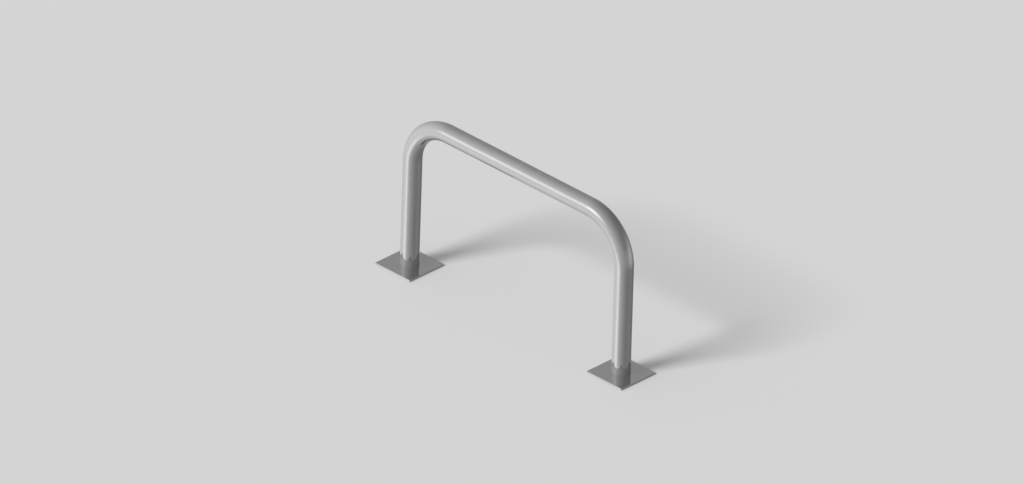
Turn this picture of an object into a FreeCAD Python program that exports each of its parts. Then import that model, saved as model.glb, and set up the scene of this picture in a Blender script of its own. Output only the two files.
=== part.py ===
import FreeCAD
import Part

import math
import os

# Hoop bike rack: one round tube bent into a wide upside-down U, standing on two square feet.
# Each leg is let into a square foot flange, welded to it above and below, and the flange is
# bolted down through four countersunk holes. A square polished cover, bored for the leg, drops
# over the flange and hides the weld and the anchor heads. The cover is threaded on before the
# flange is welded, so it stays captive on the leg and slides up it to reach the anchors.
#
# Frame: millimetres, +Z up, +X along the hoop, origin on the ground midway between the legs.

Vector = FreeCAD.Vector
UP = Vector(0, 0, 1)
FLAT = 1e-6  # an edge lower than this lies flat

# Hoop: overall size, and the tube it is bent from
OVERALL_LENGTH = 1230.0
OVERALL_HEIGHT = 705.0
TUBE_DIAMETER = 76.1
TUBE_WALL = 3.0
BEND_RADIUS = 190.0  # of the tube's centreline

# Foot flange, the plate that carries the leg
FLANGE_SIDE = 180.0
FLANGE_THICKNESS = 6.0
FLANGE_CORNER_RADIUS = 8.0
FLANGE_EDGE_CHAMFER = 1.0
FLANGE_BORE_GAP = 0.1  # all round the leg
ANCHOR_SPACING = 140.0
ANCHOR_HOLE_DIAMETER = 12.0
COUNTERSINK_DIAMETER = 22.0  # at the flange's face, for a 90 degree head

# Welds between leg and flange
WELD_BEVEL = 2.5  # width and depth of the bevel that each weld fills
WELD_LAP = 0.5  # how far the upper weld runs out over the flange
WELD_CROWN = 0.5  # how far the upper weld rises above the flange, against the leg
WELD_ROUNDNESS = 0.8  # share of that rise reached halfway across the weld

# Foot cover, a shallow pan of sheet, grooved inside its folds so that they come out crisp
COVER_SIDE = 190.0
COVER_SHEET = 1.2
COVER_TOP = 8.0  # height of its upper face above the ground
COVER_GROUND_GAP = 0.3  # under its rim
COVER_BORE_GAP = 0.4  # all round the leg
COVER_CORNER_RADIUS = 2.5  # of its four upright edges, on the outside
COVER_EDGE_RADIUS = 0.8  # where the top folds into the rim, on the outside

# Rubber pads stuck to the flange, which carry the cover and keep it from rattling
PAD_DIAMETER = 16.0
PAD_REACH = 72.0  # from the leg's axis to the middle of a pad

# Worked out from the above
TUBE_RADIUS = TUBE_DIAMETER / 2
LEG_X = OVERALL_LENGTH / 2 - TUBE_RADIUS
RAIL_Z = OVERALL_HEIGHT - TUBE_RADIUS
LEG_STRAIGHT = RAIL_Z - BEND_RADIUS
FLANGE_BORE_RADIUS = TUBE_RADIUS + FLANGE_BORE_GAP
WELD_MOUTH_RADIUS = FLANGE_BORE_RADIUS + WELD_BEVEL
PAD_THICKNESS = COVER_TOP - COVER_SHEET - FLANGE_THICKNESS
LEGS = {"left": -LEG_X, "right": LEG_X}


def hoop_centreline():
    """Up the left leg, round a quarter bend, along the rail, round the other bend and down."""
    rail_end = LEG_X - BEND_RADIUS
    slant = BEND_RADIUS * math.cos(math.pi / 4)
    left_foot = Vector(-LEG_X, 0, 0)
    left_leg_top = Vector(-LEG_X, 0, LEG_STRAIGHT)
    left_bend = Vector(-rail_end - slant, 0, LEG_STRAIGHT + slant)
    rail_left = Vector(-rail_end, 0, RAIL_Z)
    rail_right = Vector(rail_end, 0, RAIL_Z)
    right_bend = Vector(rail_end + slant, 0, LEG_STRAIGHT + slant)
    right_leg_top = Vector(LEG_X, 0, LEG_STRAIGHT)
    right_foot = Vector(LEG_X, 0, 0)
    return Part.Wire(
        [
            Part.LineSegment(left_foot, left_leg_top).toShape(),
            Part.Arc(left_leg_top, left_bend, rail_left).toShape(),
            Part.LineSegment(rail_left, rail_right).toShape(),
            Part.Arc(rail_right, right_bend, right_leg_top).toShape(),
            Part.LineSegment(right_leg_top, right_foot).toShape(),
        ]
    )


def round_bar_along(path, radius):
    """A solid round bar of this radius, swept along the hoop's centreline from its left foot."""
    section = Part.Circle(Vector(-LEG_X, 0, 0), UP, radius).toShape()
    return path.makePipeShell([Part.Wire(section)], True, False)


def hoop_tube():
    """The bent tube, open at both feet."""
    path = hoop_centreline()
    bore = round_bar_along(path, TUBE_RADIUS - TUBE_WALL)
    return round_bar_along(path, TUBE_RADIUS).cut(bore)


def square_slab(side, bottom, top):
    """A square slab centred on the Z axis."""
    corner = Vector(-side / 2, -side / 2, bottom)
    return Part.makeBox(side, side, top - bottom, corner)


def upright_edges(shape):
    """The edges at a slab's four corners."""
    return [e for e in shape.Edges if e.BoundBox.ZLength > FLAT]


def edges_at_height(shape, height):
    """The edges that lie flat in the plane at this height."""
    return [
        e
        for e in shape.Edges
        if e.BoundBox.ZLength < FLAT and abs(e.BoundBox.ZMin - height) < FLAT
    ]


def flange_bore():
    """What the leg and its welds need: a bore, bevelled at the flange's two faces."""
    straight = Part.makeCylinder(FLANGE_BORE_RADIUS, FLANGE_THICKNESS)
    lower = Part.makeCone(WELD_MOUTH_RADIUS, FLANGE_BORE_RADIUS, WELD_BEVEL)
    upper_root = Vector(0, 0, FLANGE_THICKNESS - WELD_BEVEL)
    upper = Part.makeCone(
        FLANGE_BORE_RADIUS, WELD_MOUTH_RADIUS, WELD_BEVEL, upper_root
    )
    return straight.fuse([lower, upper])


def anchor_hole(x, y):
    """A clear hole for a ground anchor, countersunk from above so that the head lies flush."""
    hole_radius = ANCHOR_HOLE_DIAMETER / 2
    head_radius = COUNTERSINK_DIAMETER / 2
    head_depth = head_radius - hole_radius
    head_bottom = Vector(x, y, FLANGE_THICKNESS - head_depth)
    hole = Part.makeCylinder(hole_radius, FLANGE_THICKNESS, Vector(x, y, 0))
    head = Part.makeCone(hole_radius, head_radius, head_depth, head_bottom)
    return hole.fuse(head)


def foot_flange():
    """Square plate with rounded corners, a bore for the leg and four anchor holes."""
    plate = square_slab(FLANGE_SIDE, 0, FLANGE_THICKNESS)
    plate = plate.makeFillet(FLANGE_CORNER_RADIUS, upright_edges(plate))
    rim = edges_at_height(plate, FLANGE_THICKNESS)
    plate = plate.makeChamfer(FLANGE_EDGE_CHAMFER, rim)
    reach = ANCHOR_SPACING / 2
    holes = [anchor_hole(x, y) for x in (-reach, reach) for y in (-reach, reach)]
    return plate.cut(flange_bore()).cut(holes)


def ring_from_outline(edges):
    """A ring about the Z axis, turned from a closed outline in the XZ plane."""
    outline = Part.Face(Part.Wire(edges))
    return outline.revolve(Vector(0, 0, 0), UP, 360)


def upper_weld():
    """The weld above, which fills its bevel and rises to the leg in a low rounded crown."""
    face = FLANGE_THICKNESS
    toe_radius = WELD_MOUTH_RADIUS + WELD_LAP
    leg_root = Vector(TUBE_RADIUS, 0, face - WELD_BEVEL)
    root = Vector(FLANGE_BORE_RADIUS, 0, face - WELD_BEVEL)
    mouth = Vector(WELD_MOUTH_RADIUS, 0, face)
    toe = Vector(toe_radius, 0, face)
    halfway = (TUBE_RADIUS + toe_radius) / 2
    crown = Vector(halfway, 0, face + WELD_CROWN * WELD_ROUNDNESS)
    leg_top = Vector(TUBE_RADIUS, 0, face + WELD_CROWN)
    return ring_from_outline(
        [
            Part.LineSegment(leg_root, root).toShape(),
            Part.LineSegment(root, mouth).toShape(),
            Part.LineSegment(mouth, toe).toShape(),
            Part.Arc(toe, crown, leg_top).toShape(),
            Part.LineSegment(leg_top, leg_root).toShape(),
        ]
    )


def lower_weld():
    """The weld below, ground flush so that the foot stands flat."""
    leg_root = Vector(TUBE_RADIUS, 0, WELD_BEVEL)
    root = Vector(FLANGE_BORE_RADIUS, 0, WELD_BEVEL)
    mouth = Vector(WELD_MOUTH_RADIUS, 0, 0)
    leg_foot = Vector(TUBE_RADIUS, 0, 0)
    return ring_from_outline(
        [
            Part.LineSegment(leg_root, root).toShape(),
            Part.LineSegment(root, mouth).toShape(),
            Part.LineSegment(mouth, leg_foot).toShape(),
            Part.LineSegment(leg_foot, leg_root).toShape(),
        ]
    )


def foot_cover():
    """Square sheet bored for the leg, with its rim folded down almost to the ground."""
    outside = square_slab(COVER_SIDE, COVER_GROUND_GAP, COVER_TOP)
    outside = outside.makeFillet(COVER_CORNER_RADIUS, upright_edges(outside))
    top_rim = edges_at_height(outside, COVER_TOP)
    outside = outside.makeFillet(COVER_EDGE_RADIUS, top_rim)
    inside_side = COVER_SIDE - 2 * COVER_SHEET
    inside = square_slab(inside_side, COVER_GROUND_GAP, COVER_TOP - COVER_SHEET)
    inside_corner_radius = COVER_CORNER_RADIUS - COVER_SHEET
    inside = inside.makeFillet(inside_corner_radius, upright_edges(inside))
    bore = Part.makeCylinder(TUBE_RADIUS + COVER_BORE_GAP, COVER_TOP)
    return outside.cut([inside, bore])


def cover_pads():
    """Four round pads, one towards the middle of each side of the flange."""
    pads = []
    for x, y in ((1, 0), (0, 1), (-1, 0), (0, -1)):
        seat = Vector(x * PAD_REACH, y * PAD_REACH, FLANGE_THICKNESS)
        pads.append(Part.makeCylinder(PAD_DIAMETER / 2, PAD_THICKNESS, seat))
    return Part.makeCompound(pads)


FOOT_PIECES = {
    "foot_flange": foot_flange,
    "upper_weld": upper_weld,
    "lower_weld": lower_weld,
    "foot_cover": foot_cover,
    "cover_pads": cover_pads,
}


def main():
    os.makedirs("parts", exist_ok=True)
    hoop_tube().exportStep("parts/hoop_tube.step")
    for piece, make in FOOT_PIECES.items():
        shape = make()
        for side, leg_x in LEGS.items():
            at_leg = shape.translated(Vector(leg_x, 0, 0))
            at_leg.exportStep(f"parts/{side}_{piece}.step")
    print("legs at x", LEG_X, "rail axis at z", RAIL_Z)
    print("cover travel up the straight leg", LEG_STRAIGHT - COVER_TOP)


main()
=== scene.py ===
import math

import bmesh
import bpy
import numpy as np
from mathutils import Matrix, Vector


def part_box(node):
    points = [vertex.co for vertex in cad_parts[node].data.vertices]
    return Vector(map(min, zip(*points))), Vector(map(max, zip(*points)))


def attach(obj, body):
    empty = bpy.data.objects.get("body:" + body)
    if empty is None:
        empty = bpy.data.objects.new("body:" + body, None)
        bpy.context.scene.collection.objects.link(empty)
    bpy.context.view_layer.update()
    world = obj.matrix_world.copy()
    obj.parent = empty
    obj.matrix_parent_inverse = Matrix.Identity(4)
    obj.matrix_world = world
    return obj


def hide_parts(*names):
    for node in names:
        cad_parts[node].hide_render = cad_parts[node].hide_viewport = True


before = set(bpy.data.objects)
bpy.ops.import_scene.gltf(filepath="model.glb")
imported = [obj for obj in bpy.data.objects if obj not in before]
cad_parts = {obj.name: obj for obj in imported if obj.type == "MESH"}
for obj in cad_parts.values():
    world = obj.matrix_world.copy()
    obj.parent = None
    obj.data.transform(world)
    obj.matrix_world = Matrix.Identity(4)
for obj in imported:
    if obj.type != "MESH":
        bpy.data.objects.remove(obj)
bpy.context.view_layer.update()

# Hoop bike rack: a polished steel hoop on two square feet, each under a loose polished cover.
# Metres, +Z up, +X along the hoop, origin on the ground midway between the legs.

# Sizes, from the frame where it has them

MM = 0.001
_, hoop_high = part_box("hoop_tube")
flange_low, flange_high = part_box("right_foot_flange")
cover_low, cover_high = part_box("right_foot_cover")
pads_low, pads_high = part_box("right_cover_pads")
_, weld_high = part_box("right_upper_weld")

TUBE_RADIUS = 76.1 * MM / 2
TUBE_WALL = 3 * MM
TUBE_BORE_RADIUS = TUBE_RADIUS - TUBE_WALL
BEND_RADIUS = 190 * MM
LEG_X = hoop_high.x - TUBE_RADIUS
RAIL_Z = hoop_high.z - TUBE_RADIUS
RAIL_END = LEG_X - BEND_RADIUS
LEG_STRAIGHT = RAIL_Z - BEND_RADIUS
BEND_LENGTH = BEND_RADIUS * math.pi / 2
HOOP_LENGTH = 2 * (LEG_STRAIGHT + BEND_LENGTH + RAIL_END)
LEGS = {"left": -LEG_X, "right": LEG_X}

FLANGE_HALF = (flange_high.x - flange_low.x) / 2
FLANGE_TOP = flange_high.z
FLANGE_CORNER_RADIUS = 8 * MM
FLANGE_CHAMFER = 1 * MM
FLANGE_BORE_GAP = 0.1 * MM
FLANGE_BORE_RADIUS = TUBE_RADIUS + FLANGE_BORE_GAP
ANCHOR_REACH = 70 * MM  # along X and along Y, from the leg's axis to the hole's
ANCHOR_HOLE_RADIUS = 6 * MM
COUNTERSINK_RADIUS = 11 * MM
CORNER_CELL = 50 * MM  # where the square round each anchor hole begins

WELD_BEVEL = 2.5 * MM
WELD_OVERLAP = 0.5 * MM  # of the upper weld on the flange round its bevel
WELD_MOUTH_RADIUS = FLANGE_BORE_RADIUS + WELD_BEVEL
WELD_TOE_RADIUS = WELD_MOUTH_RADIUS + WELD_OVERLAP
WELD_CROWN = weld_high.z - FLANGE_TOP

COVER_HALF = (cover_high.x - cover_low.x) / 2
COVER_TOP = cover_high.z
COVER_RIM = cover_low.z
COVER_SHEET = 1.2 * MM
COVER_UNDERSIDE = COVER_TOP - COVER_SHEET
COVER_BORE_GAP = 0.4 * MM
COVER_BORE_RADIUS = TUBE_RADIUS + COVER_BORE_GAP
COVER_CORNER_RADIUS = 2.5 * MM
COVER_EDGE_RADIUS = 0.8 * MM

PAD_BOTTOM = pads_low.z
PAD_TOP = pads_high.z
PAD_RADIUS = 8 * MM
PAD_REACH = 72 * MM

EDGE_BREAK = 0.15 * MM  # the small rounding of every cut edge
EDGE_STEPS = 3
MERGE_DISTANCE = 2e-6  # points nearer than this are one point
SHARP_ANGLE = math.radians(32)  # faces that meet more steeply aren't shaded as one


# Surfaces


def arc(centre, radius, start, end, steps):
    """Points round a circle, centre + radius (cos a, sin a), from angle start to end in degrees."""
    angle = np.radians(np.linspace(start, end, steps + 1))
    x = centre[0] + radius * np.cos(angle)
    y = centre[1] + radius * np.sin(angle)
    return np.column_stack([x, y])


def broken_edge(x, y, start, end):
    """The small rounding of a cut edge: an arc about (x, y)."""
    return arc((x, y), EDGE_BREAK, start, end, EDGE_STEPS)


def closed(grid):
    """The grid with its first row or point again at the end."""
    return np.concatenate([grid, grid[:1]])


def lifted(plan, height):
    """Points (x, y) set at a height. A single line of points becomes a grid of one row."""
    return np.dstack([plan[..., 0], plan[..., 1], np.full(plan.shape[:-1], height)])


def turned(profile, columns, centre_x=0.0, centre_y=0.0, start=0):
    """A profile of (radius, height) turned about an upright axis: x = r cos a, y = r sin a."""
    angle = np.radians(np.linspace(start, start + 360, columns + 1))
    radius, height = profile[:, :1], profile[:, 1:]
    x = centre_x + radius * np.cos(angle)
    y = centre_y + radius * np.sin(angle)
    return np.dstack([x, y, height + 0 * angle])


def quarter_turned(grid, quarters):
    """The grid turned by so many quarter turns about the Z axis."""
    x, y, z = grid[..., 0], grid[..., 1], grid[..., 2]
    turns = {0: (x, y), 1: (-y, x), 2: (-x, -y), 3: (y, -x)}
    return np.dstack([*turns[quarters], z])


def add_object(name, data):
    """An object in the scene for this mesh, light or camera."""
    added = bpy.data.objects.new(name, data)
    bpy.context.scene.collection.objects.link(added)
    return added


def new_piece(name, grids, unbent=None):
    """One mesh from grids of points: quads join neighbours, and edges that meet are merged."""
    points = np.concatenate([grid.reshape(-1, 3) for grid in grids])
    quads = []
    first = 0
    for grid in grids:
        rows, columns = grid.shape[:2]
        index = first + np.arange(rows * columns).reshape(rows, columns)
        corners = [index[:-1, :-1], index[:-1, 1:], index[1:, 1:], index[1:, :-1]]
        quads.append(np.stack(corners, axis=-1).reshape(-1, 4))
        first += rows * columns
    quads = np.concatenate(quads)
    mesh = bpy.data.meshes.new(name)
    mesh.vertices.add(len(points))
    mesh.vertices.foreach_set("co", points.ravel())
    mesh.loops.add(quads.size)
    mesh.loops.foreach_set("vertex_index", quads.ravel())
    mesh.polygons.add(len(quads))
    mesh.polygons.foreach_set("loop_start", np.arange(0, quads.size, 4))
    mesh.update(calc_edges=True)
    if unbent is not None:
        attribute = mesh.attributes.new("unbent", "FLOAT_VECTOR", "POINT")
        attribute.data.foreach_set("vector", unbent.ravel())
    shell = bmesh.new()
    shell.from_mesh(mesh)
    bmesh.ops.remove_doubles(shell, verts=shell.verts, dist=MERGE_DISTANCE)
    bmesh.ops.recalc_face_normals(shell, faces=shell.faces)
    shell.to_mesh(mesh)
    shell.free()
    mesh.shade_smooth()
    mesh.set_sharp_from_angle(angle=SHARP_ANGLE)
    return add_object(name, mesh)


# Hoop

TUBE_COLUMNS = 128
LEG_ROWS = 7
BEND_STEPS = 64
HALF_RAIL_STEPS = 4
FIRST_LEG_ROW = 3 * EDGE_BREAK  # close to the cut edge, so that the leg is shaded straight


def hoop_path(length):
    """Centre and outward direction at a length along the hoop, measured from its left foot.

    A point walks the sharp-cornered U that lies one bend radius inside the hoop, and waits at each
    corner while the outward direction turns a quarter. Centre = point + bend radius x direction.
    """
    runs = [0, LEG_STRAIGHT, BEND_LENGTH, 2 * RAIL_END, BEND_LENGTH, LEG_STRAIGHT]
    knots = np.cumsum(runs)
    left, right, high = -RAIL_END, RAIL_END, LEG_STRAIGHT
    walk_x = np.interp(length, knots, [left, left, left, right, right, right])
    walk_z = np.interp(length, knots, [0, high, high, high, high, 0])
    turn = np.radians(np.interp(length, knots, [0, 0, 90, 90, 180, 180]))
    outward = np.column_stack([-np.cos(turn), 0 * turn, np.sin(turn)])
    walk = np.column_stack([walk_x, 0 * turn, walk_z])
    return walk + BEND_RADIUS * outward, outward


def hoop_stations():
    """Lengths along the hoop where its section is drawn: close together at its foot and bends."""
    leg = np.concatenate([[EDGE_BREAK], np.linspace(FIRST_LEG_ROW, LEG_STRAIGHT, LEG_ROWS)])
    bend = LEG_STRAIGHT + np.linspace(0, BEND_LENGTH, BEND_STEPS + 1)[1:]
    rail = LEG_STRAIGHT + BEND_LENGTH + np.linspace(0, RAIL_END, HALF_RAIL_STEPS + 1)[1:]
    half = np.concatenate([leg, bend, rail])
    return np.concatenate([half, HOOP_LENGTH - half[-2::-1]])


def make_hoop():
    """Circle carried along the hoop's path, outside, over its right end, back inside, and closed.

    Each row is a (length, radius) pair, and its points are centre + radius (cos a x outward
    direction + sin a x Y).
    """
    stations = hoop_stations()
    outer = np.column_stack([stations, np.full(len(stations), TUBE_RADIUS)])
    inner = np.column_stack([stations[::-1], np.full(len(stations), TUBE_BORE_RADIUS)])
    first, last = EDGE_BREAK, HOOP_LENGTH - EDGE_BREAK
    shoulder = TUBE_RADIUS - EDGE_BREAK
    lip = TUBE_BORE_RADIUS + EDGE_BREAK
    right_end = np.concatenate([broken_edge(last, shoulder, 90, 0), broken_edge(last, lip, 0, -90)])
    left_end = np.concatenate(
        [broken_edge(first, lip, 270, 180), broken_edge(first, shoulder, 180, 90)]
    )
    rows = closed(np.concatenate([outer, right_end[1:-1], inner, left_end[1:-1]]))
    length, radius = rows[:, 0], rows[:, 1:]
    centre, outward = hoop_path(length)
    angle = np.radians(np.linspace(0, 360, TUBE_COLUMNS + 1))
    across, aside = radius * np.cos(angle), radius * np.sin(angle)
    points = centre[:, None, :] + across[..., None] * outward[:, None, :]
    points[..., 1] += aside
    unbent = np.dstack([length[:, None] + 0 * angle, across, aside])
    return new_piece("bent_hoop", [points], unbent)


# Foot covers

COVER_SIDE_STEPS = 34
COVER_CORNER_STEPS = 8
FOLD_STEPS = 8


def cover_columns():
    """For each column round the cover: a point of its inner square, and the outward direction.

    The point walks the square that lies one corner radius inside the cover and waits at each
    corner while the direction turns a quarter. Along a side it keeps equal angles as seen from
    the leg, so that the bore, which uses those angles, is an even circle.
    """
    core = COVER_HALF - COVER_CORNER_RADIUS
    widest = math.atan(core / COVER_HALF)
    side = COVER_HALF * np.tan(np.linspace(-widest, widest, COVER_SIDE_STEPS + 1))
    corner = np.radians(np.linspace(0, 90, COVER_CORNER_STEPS + 1))[1:-1]
    along = np.concatenate([side, np.full(len(corner), core)])
    turn = np.concatenate([0 * side, corner])
    walk = np.column_stack([np.full(len(along), core), along])
    direction = np.column_stack([np.cos(turn), np.sin(turn)])
    turns = [np.stack([walk, direction], axis=1)]
    for _ in range(3):
        x, y = turns[-1][..., 0], turns[-1][..., 1]
        turns.append(np.stack([-y, x], axis=-1))
    ring = closed(np.concatenate(turns))
    return ring[:, 0], ring[:, 1]


def cover_grid():
    """The folded sheet: up its bore, out over the top, down the rim, and back underneath.

    Rows near the leg are circles of a radius. Rows near the edge are the rounded square moved out
    by an outset, or in where it is negative: point + (corner radius + outset) x direction. Both
    sorts have a height.
    """
    walk, direction = cover_columns()
    edge = walk + COVER_CORNER_RADIUS * direction
    from_axis = edge / np.linalg.norm(edge, axis=1, keepdims=True)
    bore_edge = COVER_BORE_RADIUS + EDGE_BREAK
    bore = np.concatenate(
        [
            [(bore_edge + EDGE_BREAK, COVER_UNDERSIDE)],
            broken_edge(bore_edge, COVER_UNDERSIDE + EDGE_BREAK, 270, 180),
            broken_edge(bore_edge, COVER_TOP - EDGE_BREAK, 180, 90),
            [(bore_edge + EDGE_BREAK, COVER_TOP)],
        ]
    )
    fold_centre = (-COVER_EDGE_RADIUS, COVER_TOP - COVER_EDGE_RADIUS)
    foot = COVER_RIM + EDGE_BREAK
    rim = np.concatenate(
        [
            [(-COVER_EDGE_RADIUS - EDGE_BREAK, COVER_TOP)],
            arc(fold_centre, COVER_EDGE_RADIUS, 90, 0, FOLD_STEPS),
            [(0, COVER_TOP - COVER_EDGE_RADIUS - EDGE_BREAK)],
            [(0, foot + EDGE_BREAK)],
            broken_edge(-EDGE_BREAK, foot, 0, -90),
            broken_edge(EDGE_BREAK - COVER_SHEET, foot, 270, 180),
            [(-COVER_SHEET, COVER_UNDERSIDE - EDGE_BREAK)],
            [(-COVER_SHEET, COVER_UNDERSIDE)],
            [(-COVER_SHEET - EDGE_BREAK, COVER_UNDERSIDE)],
        ]
    )
    circles = [lifted(radius * from_axis, height) for radius, height in bore]
    squares = [
        lifted(walk + (COVER_CORNER_RADIUS + outset) * direction, height) for outset, height in rim
    ]
    return closed(np.concatenate(circles + squares))


def make_cover(side, leg_x):
    """The folded sheet, set round its leg."""
    return new_piece(f"{side}_cover_sheet", [cover_grid() + [leg_x, 0, 0]])


# Foot flanges

BORE_STEPS = 32  # to each quarter of the bore
HOLE_STEPS = 24  # to each quarter of an anchor hole
ON_THE_LINE = 1e-9  # a point so near the line between two stretches belongs to both


def side_marks(steps):
    """Where rays at equal angles cross a square's side, as shares of half of it: tan -45 to 45."""
    return np.tan(np.radians(np.linspace(-45, 45, steps + 1)))


def corner_outline(edge, corner_radius):
    """Round the corner cell, from its outer lower corner: four sides, with the far corner rounded.

    Each side is marked at equal angles. A point beyond the corner's centre both ways moves along
    its ray from that centre to the corner radius.
    """
    middle, half = (edge + CORNER_CELL) / 2, (edge - CORNER_CELL) / 2
    marks = side_marks(HOLE_STEPS)[:-1]
    one = np.ones(len(marks))
    x = middle + half * np.concatenate([one, -marks, -one, marks])
    y = middle + half * np.concatenate([marks, one, -marks, -one])
    centre = edge - corner_radius
    offset = np.column_stack([x, y]) - centre
    reach = np.linalg.norm(offset, axis=1, keepdims=True)
    beyond = (offset > -ON_THE_LINE).all(axis=1, keepdims=True)
    return closed(centre + np.where(beyond, offset * corner_radius / reach, offset))


def flange_face(edge, corner_radius, hole_radius, height):
    """One quarter of the upper or lower face, in three grids.

    They join an anchor hole's circle to its corner cell, the bore's mouth to the inner square,
    and fill the strip from that square to the edge.
    """
    anchor = (ANCHOR_REACH, ANCHOR_REACH)
    hole = arc(anchor, hole_radius, -45, 315, 4 * HOLE_STEPS)
    outline = corner_outline(edge, corner_radius)
    corner = np.concatenate([lifted(hole, height), lifted(outline, height)])
    mouth = arc((0, 0), WELD_MOUTH_RADIUS, -45, 45, BORE_STEPS)
    side_y = CORNER_CELL * side_marks(BORE_STEPS)
    side = np.column_stack([np.full(len(side_y), CORNER_CELL), side_y])
    middle = np.concatenate([lifted(mouth, height), lifted(side, height)])
    strip_x = CORNER_CELL + (edge - CORNER_CELL) * (1 + side_marks(HOLE_STEPS)) / 2
    strip = np.stack(np.meshgrid(strip_x, side_y, indexing="ij"), axis=-1)
    return [corner, middle, lifted(strip, height)]


def flange_rim():
    """One quarter of the rim: the outline's chamfer and upright side, from strip to corner."""
    side_y = CORNER_CELL * side_marks(BORE_STEPS)[:-1]
    two_sides = 2 * HOLE_STEPS + 1
    rows = []
    for inset, height in ((FLANGE_CHAMFER, FLANGE_TOP), (0, FLANGE_TOP - FLANGE_CHAMFER), (0, 0)):
        edge = FLANGE_HALF - inset
        strip = np.column_stack([np.full(len(side_y), edge), side_y])
        corner = corner_outline(edge, FLANGE_CORNER_RADIUS - inset)[:two_sides]
        rows.append(lifted(np.concatenate([strip, corner]), height))
    return np.concatenate(rows)


def make_flange(side, leg_x):
    """Four equal quarters about the leg, and the bore with its two weld bevels."""
    upper = flange_face(
        FLANGE_HALF - FLANGE_CHAMFER,
        FLANGE_CORNER_RADIUS - FLANGE_CHAMFER,
        COUNTERSINK_RADIUS,
        FLANGE_TOP,
    )
    lower = flange_face(FLANGE_HALF, FLANGE_CORNER_RADIUS, ANCHOR_HOLE_RADIUS, 0)
    seat = FLANGE_TOP - (COUNTERSINK_RADIUS - ANCHOR_HOLE_RADIUS)
    hole_profile = np.array(
        [(COUNTERSINK_RADIUS, FLANGE_TOP), (ANCHOR_HOLE_RADIUS, seat), (ANCHOR_HOLE_RADIUS, 0)]
    )
    hole = turned(hole_profile, 4 * HOLE_STEPS, ANCHOR_REACH, ANCHOR_REACH, start=-45)
    quarter = [*upper, *lower, hole, flange_rim()]
    grids = [quarter_turned(grid, turns) for turns in range(4) for grid in quarter]
    bore_profile = np.array(
        [
            (WELD_MOUTH_RADIUS, FLANGE_TOP),
            (FLANGE_BORE_RADIUS, FLANGE_TOP - WELD_BEVEL),
            (FLANGE_BORE_RADIUS, WELD_BEVEL),
            (WELD_MOUTH_RADIUS, 0),
        ]
    )
    grids.append(turned(bore_profile, 4 * BORE_STEPS))
    return new_piece(f"{side}_base_plate", [grid + [leg_x, 0, 0] for grid in grids])


# Welds

WELD_STEPS = 12
WELD_RIPPLES = 112
COLUMNS_PER_RIPPLE = 8
WELD_COLUMNS = WELD_RIPPLES * COLUMNS_PER_RIPPLE
RIPPLE_LAG = 1.6  # radians, at a whole share from the middle of the weld
RIPPLE_INSET = 0.12 * MM
RIPPLE_DEPTH = 0.35  # as a share of the crown's height


def make_weld_bead(side, leg_x):
    """The weld above: its closed outline turned about the leg, with a ripple for each pool.

    Share runs from 0 at the toe to 1 at the leg. A ripple is a scallop, 1 - |cos phase|, and its
    phase lags by ripple lag x (share - 1/2)^2, so that it is a crescent. The crown's height is
    crown x (1 - (1 - share)^2) x (1 - ripple depth x ripple). Past the toe, the ripple also draws
    the radius in, by ripple inset x ripple x (1 - share).
    """
    share = np.linspace(0, 1, WELD_STEPS + 1)[:, None]
    angle = np.radians(np.linspace(0, 360, WELD_COLUMNS + 1))
    phase = angle * WELD_RIPPLES / 2 + RIPPLE_LAG * (share - 0.5) ** 2
    ripple = 1 - np.abs(np.cos(phase))
    radius = WELD_TOE_RADIUS + (TUBE_RADIUS - WELD_TOE_RADIUS) * share
    radius = radius - RIPPLE_INSET * ripple * (1 - share) * (share > 0)
    rise = WELD_CROWN * (1 - (1 - share) ** 2) * (1 - RIPPLE_DEPTH * ripple)
    crown = np.dstack([radius * np.cos(angle), radius * np.sin(angle), FLANGE_TOP + rise])
    root = FLANGE_TOP - WELD_BEVEL
    lower = np.array(
        [(TUBE_RADIUS, root), (FLANGE_BORE_RADIUS, root), (WELD_MOUTH_RADIUS, FLANGE_TOP)]
    )
    grid = closed(np.concatenate([crown, turned(lower, WELD_COLUMNS)]))
    return new_piece(f"{side}_weld_bead", [grid + [leg_x, 0, 0]])


def make_root_weld(side, leg_x):
    """The weld below: an outline that fills the bevel, flush with the flange, turned."""
    outline = np.array(
        [
            (TUBE_RADIUS, WELD_BEVEL),
            (FLANGE_BORE_RADIUS, WELD_BEVEL),
            (WELD_MOUTH_RADIUS, 0),
            (TUBE_RADIUS, 0),
        ]
    )
    return new_piece(f"{side}_root_weld", [turned(closed(outline), TUBE_COLUMNS, leg_x)])


# Pads

PAD_COLUMNS = 48
PAD_PLACES = ((PAD_REACH, 0), (0, PAD_REACH), (-PAD_REACH, 0), (0, -PAD_REACH))


def make_pads(side, leg_x):
    """Four discs: the outline of half a disc with rounded edges, turned about each one's axis."""
    shoulder = PAD_RADIUS - EDGE_BREAK
    outline = np.concatenate(
        [
            [(0, PAD_BOTTOM), (shoulder - EDGE_BREAK, PAD_BOTTOM)],
            broken_edge(shoulder, PAD_BOTTOM + EDGE_BREAK, -90, 0),
            broken_edge(shoulder, PAD_TOP - EDGE_BREAK, 0, 90),
            [(shoulder - EDGE_BREAK, PAD_TOP), (0, PAD_TOP)],
        ]
    )
    discs = [turned(outline, PAD_COLUMNS, leg_x + x, y) for x, y in PAD_PLACES]
    return new_piece(f"{side}_rest_pads", discs)


# Node trees


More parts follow.
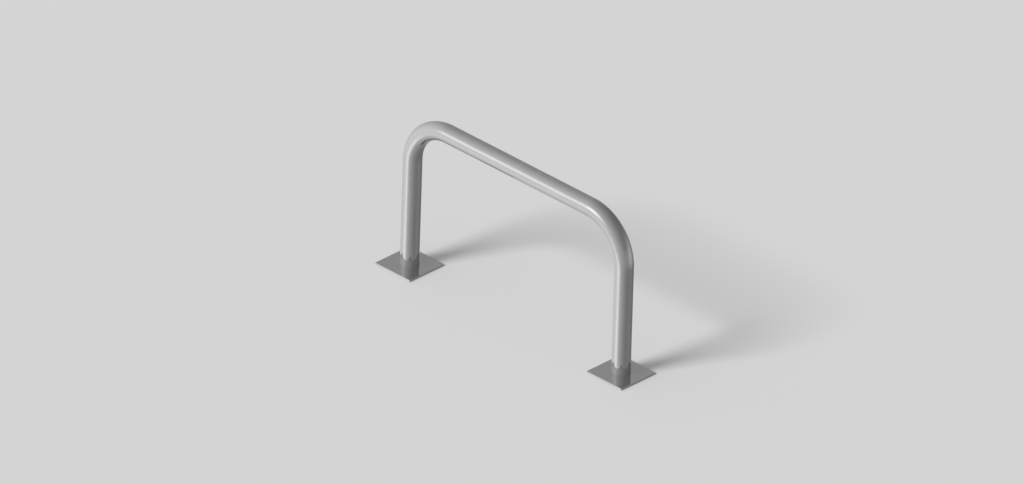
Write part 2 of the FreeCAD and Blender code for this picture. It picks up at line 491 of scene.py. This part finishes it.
class Tree:
    """A node tree written as calls: each adds a node, sets it up and wires its inputs."""

    def __init__(self, tree):
        self.tree = tree
        tree.nodes.clear()

    def node(self, kind, inputs=None, **settings):
        """A node with its settings, and its inputs by name or number: a socket or a value each."""
        node = self.tree.nodes.new(kind)
        for name, value in settings.items():
            setattr(node, name, value)
        for key, value in (inputs or {}).items():
            if isinstance(value, bpy.types.NodeSocket):
                self.tree.links.new(value, node.inputs[key])
            else:
                node.inputs[key].default_value = value
        return node

    def math(self, operation, *values):
        inputs = dict(enumerate(values))
        return self.node("ShaderNodeMath", inputs, operation=operation).outputs[0]

    def add(self, base, value, times):
        """Base + times x value."""
        return self.math("MULTIPLY_ADD", value, times, base)

    def vector(self, operation, output, *values):
        inputs = dict(enumerate(values))
        return self.node("ShaderNodeVectorMath", inputs, operation=operation).outputs[output]

    def parts(self, vector):
        """The X, Y and Z of a vector."""
        return self.node("ShaderNodeSeparateXYZ", {0: vector}).outputs

    def ramp(self, value, low, high, out_low=0.0, out_high=1.0):
        """Smooth step of a value: out_low up to low, and out_high from high."""
        inputs = {0: value, 1: low, 2: high, 3: out_low, 4: out_high}
        return self.node("ShaderNodeMapRange", inputs, interpolation_type="SMOOTHSTEP").outputs[0]

    def fall(self, value, low, high):
        """Smooth step down: 1 up to low, and 0 from high."""
        return self.ramp(value, low, high, out_low=1.0, out_high=0.0)

    def mix_colour(self, share, first, second):
        """First at share 0, second at 1. A Mix node's colours are inputs 6 and 7 and output 2."""
        inputs = {0: share, 6: first, 7: second}
        return self.node("ShaderNodeMix", inputs, data_type="RGBA").outputs[2]

    def stretched(self, coordinates, scale, turn=(0, 0, 0)):
        """Coordinates times a scale for each axis, then turned by angles in degrees."""
        angles = tuple(math.radians(a) for a in turn)
        inputs = {"Vector": coordinates, "Scale": scale, "Rotation": angles}
        return self.node("ShaderNodeMapping", inputs, vector_type="POINT").outputs[0]

    def noise(self, coordinates, scale=1.0, detail=2.0, roughness=0.5):
        inputs = {"Vector": coordinates, "Scale": scale, "Detail": detail, "Roughness": roughness}
        return self.node("ShaderNodeTexNoise", inputs).outputs[0]


def new_group(name, inputs, outputs):
    """An empty node group: its tree, its inputs by name, and a call that wires its outputs."""
    group = bpy.data.node_groups.new(name, "ShaderNodeTree")
    tree = Tree(group)
    for socket, kind in inputs.items():
        group.interface.new_socket(socket, in_out="INPUT", socket_type=f"NodeSocket{kind}")
    for socket, kind in outputs.items():
        group.interface.new_socket(socket, in_out="OUTPUT", socket_type=f"NodeSocket{kind}")
    given = tree.node("NodeGroupInput").outputs
    result = tree.node("NodeGroupOutput")

    def finish(**values):
        for socket, value in values.items():
            group.links.new(value, result.inputs[socket])
        return group

    return tree, given, finish


def place(tree, group, **inputs):
    """A group placed in a tree, with its inputs by name."""
    return tree.node("ShaderNodeGroup", inputs, node_tree=group).outputs


# Effects that several materials share, with the scales of their noises in waves to the metre

# Belt-line colours: a painted sheen on the ridges and a painted shade in the grooves
SHEENED_RIDGE_STEEL = (0.512, 0.512, 0.512, 1)
SHADED_GROOVE_STEEL = (0.488, 0.488, 0.488, 1)
SCUFFED_STEEL = (0.6, 0.598, 0.592, 1)
DUST = (0.5, 0.496, 0.488, 1)
POLISH_ROUGHNESS = 0.08


def polish_lines_group():
    """Fine lines left by the polishing belt, which cross the coordinates' X.

    Height is two noises added, each squeezed along X, and Shade is its smooth step: a painted
    shade in the grooves and a painted sheen on the ridges. Both run from 0 to 1.
    """
    inputs = {"Across": "Vector"}
    outputs = {"Height": "Float", "Shade": "Float"}
    tree, given, finish = new_group("polish_lines", inputs, outputs)
    fine = tree.noise(tree.stretched(given["Across"], scale=(2600, 16, 16)), detail=1.0)
    coarse = tree.noise(tree.stretched(given["Across"], scale=(700, 9, 9)), detail=1.0)
    height = tree.add(tree.math("MULTIPLY", fine, 0.4), coarse, times=0.6)
    return finish(Height=height, Shade=tree.ramp(height, low=0.36, high=0.64))


def scratches_group():
    """Hairline scratches in three directions: a mask that is 1 on a scratch.

    Each set is a noise stretched along its scratches, of which only the highest values count, and
    which a second, wide noise breaks up.
    """
    inputs = {"Surface": "Vector", "Amount": "Float"}
    tree, given, finish = new_group("hairline_scratches", inputs, {"Mask": "Float"})
    total = 0.0
    for turn in ((0, 0, 8), (35, 20, 70), (-25, 50, 130)):
        along_scratches = tree.stretched(given["Surface"], scale=(14, 900, 60), turn=turn)
        all_ways = tree.stretched(given["Surface"], scale=(18, 18, 18), turn=turn)
        grooves = tree.noise(along_scratches, detail=0.0)
        patches = tree.noise(all_ways, detail=1.0)
        line = tree.ramp(grooves, low=0.68, high=0.78)
        mask = tree.math("MULTIPLY", line, tree.ramp(patches, low=0.44, high=0.62))
        total = tree.math("MAXIMUM", total, mask)
    return finish(Mask=tree.math("MULTIPLY", total, given["Amount"]))


def handling_group():
    """Marks of use on polished steel, from 0 to 1: wide soft smudges, and rings of dried drops.

    A drop's ring is where the distance from the middle of its cell is the ring's radius. Only the
    cells that drew a high random value have one.
    """
    cells_per_wave = 9.0
    ring_radius = 0.26
    inputs = {"Surface": "Vector", "Size": "Float"}
    outputs = {"Smudge": "Float", "Drops": "Float"}
    tree, given, finish = new_group("handling_marks", inputs, outputs)
    scaling = {0: given["Surface"], "Scale": given["Size"]}
    sized = tree.node("ShaderNodeVectorMath", scaling, operation="SCALE").outputs[0]
    smudge = tree.ramp(tree.noise(sized, detail=4.0, roughness=0.6), low=0.42, high=0.68)
    pattern = {"Vector": sized, "Scale": cells_per_wave, "Randomness": 1.0}
    cells = tree.node("ShaderNodeTexVoronoi", pattern).outputs
    chosen = tree.ramp(cells["Color"], low=0.62, high=0.7)
    off_ring = tree.math("ABSOLUTE", tree.math("SUBTRACT", cells["Distance"], ring_radius))
    ring = tree.ramp(tree.math("SUBTRACT", 1.0, off_ring), low=0.94, high=0.99)
    return finish(Smudge=smudge, Drops=tree.math("MULTIPLY", ring, chosen))


def dust_group():
    """The share of a dry film of dust, clouded and speckled, that ends at a height, its reach."""
    inputs = {"Surface": "Vector", "Reach": "Float", "Amount": "Float"}
    tree, given, finish = new_group("ground_dust", inputs, {"Share": "Float"})
    cloud = tree.noise(given["Surface"], scale=64.0, detail=3.0)
    speckle = tree.noise(given["Surface"], scale=420.0, detail=3.0, roughness=0.7)
    rise = tree.math("DIVIDE", tree.parts(given["Surface"])[2], given["Reach"])
    low_down = tree.fall(tree.add(rise, cloud, times=0.5), low=0.8, high=1.3)
    clouded = tree.ramp(cloud, low=0.3, high=0.7, out_low=0.8, out_high=1.05)
    film = tree.add(clouded, tree.ramp(speckle, low=0.45, high=0.7), times=0.2)
    share = tree.math("MULTIPLY", tree.math("MULTIPLY", low_down, film), given["Amount"])
    return finish(Share=share)


def polished_skin_group():
    """Polished steel under its marks, from their masks.

    Dust is the share of dust, to which dried drops add their residue and smudges a little. The
    roughness is that of clean polish, with haze for smudges and more for drops and hairlines.
    """
    inputs = {
        "Shade": "Float",
        "Hairlines": "Float",
        "Smudge": "Float",
        "Drops": "Float",
        "Dust": "Float",
        "Residue": "Float",
        "Haze": "Float",
    }
    outputs = {"Color": "Color", "Metal": "Float", "Roughness": "Float"}
    tree, given, finish = new_group("polished_skin", inputs, outputs)
    dusty = tree.add(given["Dust"], given["Drops"], times=given["Residue"])
    dusty = tree.add(dusty, given["Smudge"], times=0.02)
    # Painted shade in the belt lines' grooves and painted sheen on their ridges
    colour = tree.mix_colour(given["Shade"], SHADED_GROOVE_STEEL, SHEENED_RIDGE_STEEL)
    colour = tree.mix_colour(given["Hairlines"], colour, SCUFFED_STEEL)
    colour = tree.mix_colour(dusty, colour, DUST)
    rough = tree.add(POLISH_ROUGHNESS, given["Smudge"], times=given["Haze"])
    rough = tree.add(rough, given["Drops"], times=0.05)
    rough = tree.add(rough, given["Hairlines"], times=0.16)
    return finish(Color=colour, Metal=tree.math("SUBTRACT", 1.0, dusty), Roughness=rough)


polish_lines = polish_lines_group()
scratches = scratches_group()
handling = handling_group()
dust = dust_group()
polished_skin = polished_skin_group()


# Materials

MILL_STEEL = (0.56, 0.56, 0.55, 1)
MILL_SHADE = (0.47, 0.47, 0.465, 1)
STRAW_TINT = (0.6, 0.5, 0.33, 1)
BLUE_TINT = (0.36, 0.38, 0.47, 1)
WELD_METAL = (0.5, 0.47, 0.43, 1)
WELD_SHADE = (0.33, 0.31, 0.3, 1)
RUBBER = (0.035, 0.035, 0.037, 1)
DUSTY_RUBBER = (0.16, 0.155, 0.15, 1)
MILL_ROUGHNESS = 0.3
WELD_ROUGHNESS = 0.28
RUBBER_ROUGHNESS = 0.65

HAIRLINE_DEPTH = 0.01 * MM
LEANED_ON = (220 * MM, 420 * MM)  # from the rail's middle: where scuffs begin to thin, and end
LEG_DUST_WIDTH = 4 * MM  # of the dust that gathers on a cover round its leg
HEAT_WANDER = 12 * MM  # how far the rings of the weld's heat wander in and out
# Each ring grows between its first two distances from the leg's axis and fades between the others
STRAW_RING = (44 * MM, 52 * MM, 53 * MM, 64 * MM)
BLUE_RING = (41 * MM, 44 * MM, 45 * MM, 51 * MM)


def new_material(name):
    """A material, and its empty tree."""
    material = bpy.data.materials.new(name)
    material.use_nodes = True
    return material, Tree(material.node_tree)


def finish_material(tree, inputs):
    """The Principled BSDF with these inputs, wired to the output."""
    shader = tree.node("ShaderNodeBsdfPrincipled", inputs)
    tree.node("ShaderNodeOutputMaterial", {"Surface": shader.outputs[0]})


def bump(tree, height, depth, normal=None):
    """The normal, or the given one, bumped by a height of 0 to 1 times the depth."""
    inputs = {"Height": height, "Distance": depth, "Strength": 1.0}
    if normal is not None:
        inputs["Normal"] = normal
    return tree.node("ShaderNodeBump", inputs).outputs[0]


def object_coordinates(tree):
    """Metres in the rack's own frame."""
    return tree.node("ShaderNodeTexCoord").outputs["Object"]


def from_leg(tree, surface):
    """Distance from the axis of the nearer leg: the root of (|x| - leg x)^2 + y^2."""
    x, y, _ = tree.parts(surface)
    x = tree.math("SUBTRACT", tree.math("ABSOLUTE", x), LEG_X)
    return tree.math("SQRT", tree.math("MULTIPLY_ADD", x, x, tree.math("MULTIPLY", y, y)))


def finish_polished(tree, skin, wave, lines, line_depth, hairlines):
    """The polished skin, over a wave's normal that belt lines and hairlines bump further."""
    normal = bump(tree, lines["Height"], line_depth, normal=wave)
    normal = bump(tree, hairlines, HAIRLINE_DEPTH, normal=normal)
    finish_material(
        tree,
        {
            "Base Color": skin["Color"],
            "Metallic": skin["Metal"],
            "Roughness": skin["Roughness"],
            "Normal": normal,
        },
    )


def polished_tube_material():
    """Tube polished round and round: belt lines, soft smudges, hairlines, and scuffs on the rail.

    The belt lines and hairlines follow the tube as if it were unbent, by its length and section.
    """
    material, tree = new_material("polished_tube")
    surface = object_coordinates(tree)
    unbent = tree.node("ShaderNodeAttribute", attribute_name="unbent").outputs["Vector"]
    along = tree.math("SUBTRACT", tree.parts(unbent)[0], HOOP_LENGTH / 2)
    from_middle = tree.math("ABSOLUTE", along)
    leaned_on = tree.ramp(from_middle, *LEANED_ON, out_low=1.0, out_high=0.3)
    lines = place(tree, polish_lines, Across=unbent)
    hairlines = place(tree, scratches, Surface=unbent, Amount=leaned_on)["Mask"]
    marks = place(tree, handling, Surface=surface, Size=7.0)
    skin = place(
        tree,
        polished_skin,
        Shade=lines["Shade"],
        Hairlines=hairlines,
        Smudge=marks["Smudge"],
        Drops=marks["Drops"],
        Dust=place(tree, dust, Surface=surface, Reach=60 * MM, Amount=0.19)["Share"],
        Residue=0.05,
        Haze=0.035,
    )
    wobble = tree.noise(tree.stretched(unbent, scale=(16, 26, 26)), detail=1.0)
    wave = bump(tree, wobble, depth=0.08 * MM)
    finish_polished(tree, skin, wave, lines, 0.003 * MM, hairlines)
    return material


def polished_cover_material():
    """Sheet polished one way, along X, with wiping marks, hairlines, and dust round the leg."""
    material, tree = new_material("polished_cover")
    surface = object_coordinates(tree)
    turned_surface = tree.stretched(surface, scale=(1, 1, 1), turn=(0, 0, 90))
    lines = place(tree, polish_lines, Across=turned_surface)
    hairlines = place(tree, scratches, Surface=surface, Amount=0.6)["Mask"]
    marks = place(tree, handling, Surface=surface, Size=16.0)
    film = place(tree, dust, Surface=surface, Reach=70 * MM, Amount=0.06)["Share"]
    from_tube = tree.math("SUBTRACT", from_leg(tree, surface), TUBE_RADIUS)
    by_leg = tree.ramp(from_tube, low=0.0, high=LEG_DUST_WIDTH, out_low=0.14, out_high=0.0)
    skin = place(
        tree,
        polished_skin,
        Shade=lines["Shade"],
        Hairlines=hairlines,
        Smudge=marks["Smudge"],
        Drops=marks["Drops"],
        Dust=tree.math("ADD", film, by_leg),
        Residue=0.06,
        Haze=0.04,
    )
    wave = bump(tree, tree.noise(surface, scale=14.0, detail=1.0), depth=0.12 * MM)
    finish_polished(tree, skin, wave, lines, 0.002 * MM, hairlines)
    return material


def heat_ring(tree, distance, ring, strength):
    """The mask of a ring of colour that the weld's heat left round the leg."""
    grows_from, full, fades_from, gone = ring
    grows = tree.ramp(distance, grows_from, full)
    fades = tree.fall(distance, fades_from, gone)
    return tree.math("MULTIPLY", tree.math("MULTIPLY", grows, fades), strength)


def flange_material():
    """Rolled plate: lengthwise grain, clouding, and the straw and blue rings of the weld's heat."""
    material, tree = new_material("flange_steel")
    surface = object_coordinates(tree)
    grain = tree.noise(tree.stretched(surface, scale=(60, 1500, 60)), detail=3.0)
    cloud = tree.noise(surface, scale=30.0, detail=4.0, roughness=0.6)
    shade = tree.add(tree.math("MULTIPLY", cloud, 0.5), grain, times=0.5)
    colour = tree.mix_colour(tree.ramp(shade, low=0.38, high=0.62), MILL_SHADE, MILL_STEEL)
    centred = tree.math("SUBTRACT", from_leg(tree, surface), HEAT_WANDER / 2)
    distance = tree.add(centred, cloud, times=HEAT_WANDER)
    straw = heat_ring(tree, distance, STRAW_RING, strength=0.6)
    blue = heat_ring(tree, distance, BLUE_RING, strength=0.7)
    colour = tree.mix_colour(straw, colour, STRAW_TINT)
    colour = tree.mix_colour(blue, colour, BLUE_TINT)
    hairlines = place(tree, scratches, Surface=surface, Amount=1.0)["Mask"]
    rough = tree.add(MILL_ROUGHNESS, cloud, times=0.16)
    rough = tree.add(rough, hairlines, times=0.12)
    normal = bump(tree, grain, depth=0.02 * MM)
    finish_material(
        tree, {"Base Color": colour, "Metallic": 1.0, "Roughness": rough, "Normal": normal}
    )
    return material


def weld_material():
    """Weld metal: duller than the plate, darker in patches, with a fine crust."""
    material, tree = new_material("weld_bead")
    surface = object_coordinates(tree)
    patches = tree.noise(surface, scale=160.0, detail=3.0, roughness=0.6)
    crust = tree.noise(surface, scale=2200.0)
    colour = tree.mix_colour(tree.ramp(patches, low=0.35, high=0.65), WELD_SHADE, WELD_METAL)
    rough = tree.add(WELD_ROUGHNESS, patches, times=0.25)
    normal = bump(tree, crust, depth=0.03 * MM)
    finish_material(
        tree, {"Base Color": colour, "Metallic": 1.0, "Roughness": rough, "Normal": normal}
    )
    return material


def rubber_material():
    """Black rubber: a fine moulded grain, greyed in patches by dust."""
    material, tree = new_material("pad_rubber")
    surface = object_coordinates(tree)
    grain = tree.noise(surface, scale=1800.0)
    patches = tree.noise(surface, scale=130.0, detail=4.0, roughness=0.65)
    greyed = tree.math("MULTIPLY", tree.ramp(patches, low=0.45, high=0.75), 0.35)
    colour = tree.mix_colour(greyed, RUBBER, DUSTY_RUBBER)
    rough = tree.add(RUBBER_ROUGHNESS, grain, times=0.2)
    normal = bump(tree, grain, depth=0.04 * MM)
    finish_material(tree, {"Base Color": colour, "Roughness": rough, "Normal": normal})
    return material


# Pieces on their bodies

FINISHES = {
    "polished_tube": polished_tube_material(),
    "polished_cover": polished_cover_material(),
    "flange_steel": flange_material(),
    "weld_bead": weld_material(),
    "pad_rubber": rubber_material(),
}


def fit(piece, body, node, slot):
    """Sets a piece on its body in place of its node, with the finish of its slot."""
    piece.data.materials.append(FINISHES[slot])
    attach(piece, body)
    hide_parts(node)


fit(make_hoop(), "rack", "hoop_tube", "polished_tube")
for side, leg_x in LEGS.items():
    fit(make_flange(side, leg_x), "rack", f"{side}_foot_flange", "flange_steel")
    fit(make_weld_bead(side, leg_x), "rack", f"{side}_upper_weld", "weld_bead")
    fit(make_root_weld(side, leg_x), "rack", f"{side}_lower_weld", "weld_bead")
    fit(make_pads(side, leg_x), "rack", f"{side}_cover_pads", "pad_rubber")
    fit(make_cover(side, leg_x), f"{side}_cover", f"{side}_foot_cover", "polished_cover")


# Stage: a plain pale floor

FLOOR_REACH = 40.0
FLOOR_CORNERS = ((-1, -1), (1, -1), (1, 1), (-1, 1))
FLOOR_COLOUR = (0.66, 0.66, 0.66, 1)


def make_floor():
    """A level square on the ground.

    Polished steel doesn't mirror it, and shows the studio's soft panels below it as well as above.
    """
    mesh = bpy.data.meshes.new("floor")
    corners = [(x * FLOOR_REACH, y * FLOOR_REACH, 0) for x, y in FLOOR_CORNERS]
    mesh.from_pydata(corners, [], [(0, 1, 2, 3)])
    material, tree = new_material("floor")
    finish_material(tree, {"Base Color": FLOOR_COLOUR, "Roughness": 1.0, "Specular IOR Level": 0.0})
    mesh.materials.append(material)
    floor = add_object("floor", mesh)
    floor.visible_glossy = False


make_floor()


# Light: a studio of wide soft panels, and a soft key from the front left. All angles in degrees.

EVEN_LIGHT = 0.204
SLOPE_LIGHT = 0.209  # added and taken away by the even light's slope across the world
SLOPE_TOWARDS = (-98, 15)  # bearing and elevation
# Round glows: bearing and elevation of the middle, tightness, strength
GLOWS = (
    (-159, -13.5, 1.26, 0.814),
    (-117, 15, 42.0, 1.137),
    (45.4, -3.4, 5.6, 0.346),
)
# Panels: bearing of the middle, width, low and high end, softness of both ends, strength
PANELS = (
    (-114, 17, -51, -25, 5.4, 0.51),
    (42.5, 72, -22, 7, 10, 0.203),
)
BACKDROP_COLOUR = (0.66, 0.66, 0.66, 1)

KEY_ENERGY = 2.44
KEY_WIDTH = 20  # across the sun's disc, so wide that shadows have no edge
KEY_FROM = (-105, 40)  # bearing and elevation


def towards(bearing, elevation):
    """Unit vector: bearing in degrees from +X towards +Y, elevation in degrees."""
    bearing, elevation = math.radians(bearing), math.radians(elevation)
    flat = math.cos(elevation)
    return Vector((flat * math.cos(bearing), flat * math.sin(bearing), math.sin(elevation)))


def soft_lamp_group():
    """A round glow: strength x exp(tightness x (cos of the angle from its middle - 1))."""
    inputs = {"Direction": "Vector", "Middle": "Vector", "Tightness": "Float", "Strength": "Float"}
    tree, given, finish = new_group("soft_lamp", inputs, {"Light": "Float"})
    cosine = tree.vector("DOT_PRODUCT", "Value", given["Direction"], given["Middle"])
    exponent = tree.math("MULTIPLY", given["Tightness"], tree.math("SUBTRACT", cosine, 1.0))
    light = tree.math("MULTIPLY", given["Strength"], tree.math("EXPONENT", exponent))
    return finish(Light=light)


def soft_panel_group():
    """A panel: strength x exp(-(bearing offset / width)^2), between a low and a high elevation.

    Its two ends are smooth steps of the elevation, as wide to each side as the softness. Angles
    are in radians.
    """
    inputs = {
        "Direction": "Vector",
        "Bearing": "Vector",
        "Width": "Float",
        "Low": "Float",
        "High": "Float",
        "Softness": "Float",
        "Strength": "Float",
    }
    tree, given, finish = new_group("soft_panel", inputs, {"Light": "Float"})
    ahead = tree.vector("DOT_PRODUCT", "Value", given["Direction"], given["Bearing"])
    cross = tree.vector("CROSS_PRODUCT", "Vector", given["Direction"], given["Bearing"])
    aside = tree.parts(cross)[2]
    share = tree.math("DIVIDE", tree.math("ARCTAN2", aside, ahead), given["Width"])
    bell = tree.math("EXPONENT", tree.math("MULTIPLY", tree.math("MULTIPLY", share, share), -1.0))
    elevation = tree.math("ARCSINE", tree.parts(given["Direction"])[2])
    soft = given["Softness"]
    up_from = tree.math("SUBTRACT", given["Low"], soft)
    up_to = tree.math("ADD", given["Low"], soft)
    down_from = tree.math("SUBTRACT", given["High"], soft)
    down_to = tree.math("ADD", given["High"], soft)
    low_end = tree.ramp(elevation, up_from, up_to)
    high_end = tree.fall(elevation, down_from, down_to)
    window = tree.math("MULTIPLY", low_end, high_end)
    light = tree.math("MULTIPLY", given["Strength"], tree.math("MULTIPLY", bell, window))
    return finish(Light=light)


def build_studio():
    """The world: an even light that grows towards the left, three round glows and two panels.

    The camera sees none of them, but a plain backdrop as pale as the floor.
    """
    world = bpy.data.worlds.new("studio")
    world.use_nodes = True
    world.cycles.sampling_method = "NONE"
    tree = Tree(world.node_tree)
    direction = tree.node("ShaderNodeTexCoord").outputs["Generated"]
    slope = tree.vector("DOT_PRODUCT", "Value", direction, towards(*SLOPE_TOWARDS))
    total = tree.add(EVEN_LIGHT, slope, times=SLOPE_LIGHT)
    lamp, panel = soft_lamp_group(), soft_panel_group()
    for bearing, elevation, tightness, strength in GLOWS:
        glow = place(
            tree,
            lamp,
            Direction=direction,
            Middle=towards(bearing, elevation),
            Tightness=tightness,
            Strength=strength,
        )
        total = tree.math("ADD", total, glow["Light"])
    for bearing, width, low, high, softness, strength in PANELS:
        sheet = place(
            tree,
            panel,
            Direction=direction,
            Bearing=towards(bearing, 0),
            Width=math.radians(width),
            Low=math.radians(low),
            High=math.radians(high),
            Softness=math.radians(softness),
            Strength=strength,
        )
        total = tree.math("ADD", total, sheet["Light"])
    seen = tree.node("ShaderNodeLightPath").outputs["Is Camera Ray"]
    shown = tree.mix_colour(seen, total, BACKDROP_COLOUR)
    background = tree.node("ShaderNodeBackground", {"Color": shown, "Strength": 1.0})
    tree.node("ShaderNodeOutputWorld", {"Surface": background.outputs[0]})
    bpy.context.scene.world = world


def add_key():
    """A wide soft sun that lights the floor, dust and rubber. Nothing mirrors it."""
    light = bpy.data.lights.new("key", "SUN")
    light.energy = KEY_ENERGY
    light.angle = math.radians(KEY_WIDTH)
    key = add_object("key", light)
    key.rotation_euler = towards(*KEY_FROM).to_track_quat("Z", "Y").to_euler()
    key.visible_glossy = False


build_studio()
add_key()


# Camera, at the photograph's angle, with its parallel lines kept parallel

CAMERA_DISTANCE = 60.0
CAMERA_AZIMUTH = math.radians(43.61)  # of the camera's right hand, from +X towards +Y
CAMERA_ELEVATION = math.radians(29.80)
CAMERA_ROLL = math.radians(1.82)
PICTURE_WIDTH = 3.983  # metres across the picture
MIDDLE_RIGHT = -0.0124  # the picture's middle, in metres right of the origin
MIDDLE_UP = 0.3006  # and above it


def add_camera():
    """Right and up are the picture's own axes: the level ones, turned by the roll."""
    sin_a, cos_a = math.sin(CAMERA_AZIMUTH), math.cos(CAMERA_AZIMUTH)
    sin_e, cos_e = math.sin(CAMERA_ELEVATION), math.cos(CAMERA_ELEVATION)
    level_right = Vector((cos_a, sin_a, 0))
    level_up = Vector((-sin_a * sin_e, cos_a * sin_e, cos_e))
    right = math.cos(CAMERA_ROLL) * level_right + math.sin(CAMERA_ROLL) * level_up
    up = math.cos(CAMERA_ROLL) * level_up - math.sin(CAMERA_ROLL) * level_right
    back = right.cross(up)
    camera_data = bpy.data.cameras.new("camera")
    camera_data.type = "ORTHO"
    camera_data.ortho_scale = PICTURE_WIDTH
    camera_data.clip_start = 1.0
    camera_data.clip_end = 1000.0
    camera = add_object("camera", camera_data)
    turn = Matrix((right, up, back)).transposed().to_4x4()
    middle = MIDDLE_RIGHT * right + MIDDLE_UP * up
    camera.matrix_world = Matrix.Translation(middle + CAMERA_DISTANCE * back) @ turn
    bpy.context.scene.camera = camera


add_camera()
bpy.context.scene.view_settings.view_transform = "Standard"
